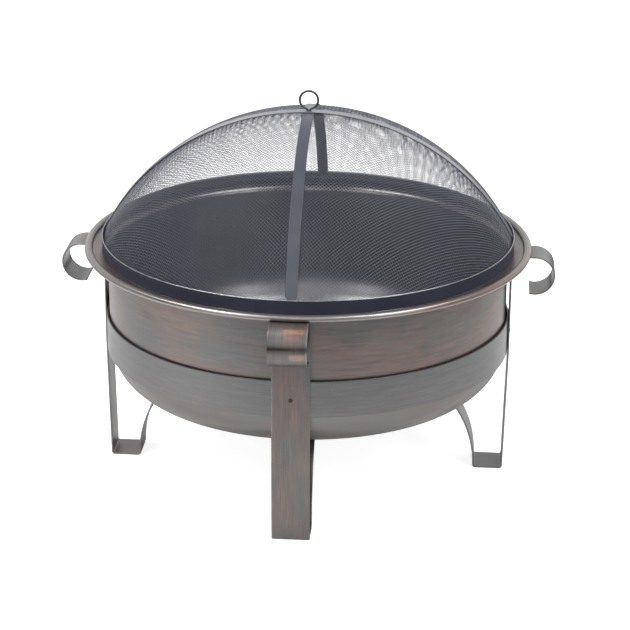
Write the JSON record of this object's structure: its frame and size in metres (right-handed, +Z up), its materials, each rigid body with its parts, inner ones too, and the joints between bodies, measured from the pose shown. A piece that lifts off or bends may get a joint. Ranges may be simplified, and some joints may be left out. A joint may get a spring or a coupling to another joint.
{
  "type": "fire pit",
  "caption": "Round wood-burning fire pit: deep steel bowl on a bent-bar stand with scroll handles, a log grate inside and a lift-off domed mesh spark screen.",
  "frame": {"origin": "on the floor under the middle of the bowl", "axes": "+Z up, -Y towards the front leg, +X towards the right leg"},
  "size_m": [0.8602, 0.8602, 0.678],
  "materials": {
    "bronze_steel": "rubbed dark bronze with brushed red-brown streaks",
    "black_steel": "satin black heat-resistant paint",
    "dark_hardware": "black oxide",
    "hem_steel": "black paint worn lighter along the edge",
    "black_mesh": "black painted woven wire"
  },
  "bodies": {
    "stand": {"leg_front": "bronze_steel", "leg_right": "bronze_steel", "leg_back": "bronze_steel", "leg_left": "bronze_steel", "support_hoop": "bronze_steel", "leg_screws": "dark_hardware", "hub_plate": "black_steel", "hub_bolts": "dark_hardware", "hub_washers": "dark_hardware", "hub_nuts": "dark_hardware"},
    "bowl": {"fire_bowl": "bronze_steel"},
    "log_grate": {"grate_ring": "black_steel", "grate_bar_1": "black_steel", "grate_bar_2": "black_steel", "grate_bar_3": "black_steel", "grate_bar_4": "black_steel", "grate_bar_5": "black_steel", "grate_bar_6": "black_steel", "grate_bar_7": "black_steel", "grate_feet": "black_steel"},
    "screen": {"screen_band": "black_steel", "screen_hem": "hem_steel", "screen_mesh": "black_mesh", "screen_strap_front_back": "black_steel", "screen_strap_side": "black_steel", "lift_ring": "black_steel", "lift_ring_washer": "black_steel"}
  },
  "joints": [
    {"name": "bowl_lift", "type": "slide", "parent": "stand", "child": "bowl", "axis": [0, 0, 1], "range_m": [0, 0.26]},
    {"name": "grate_lift", "type": "slide", "parent": "bowl", "child": "log_grate", "axis": [0, 0, 1], "range_m": [0, 0.25]},
    {"name": "screen_lift", "type": "slide", "parent": "bowl", "child": "screen", "axis": [0, 0, 1], "range_m": [0, 0.3]}
  ]
}
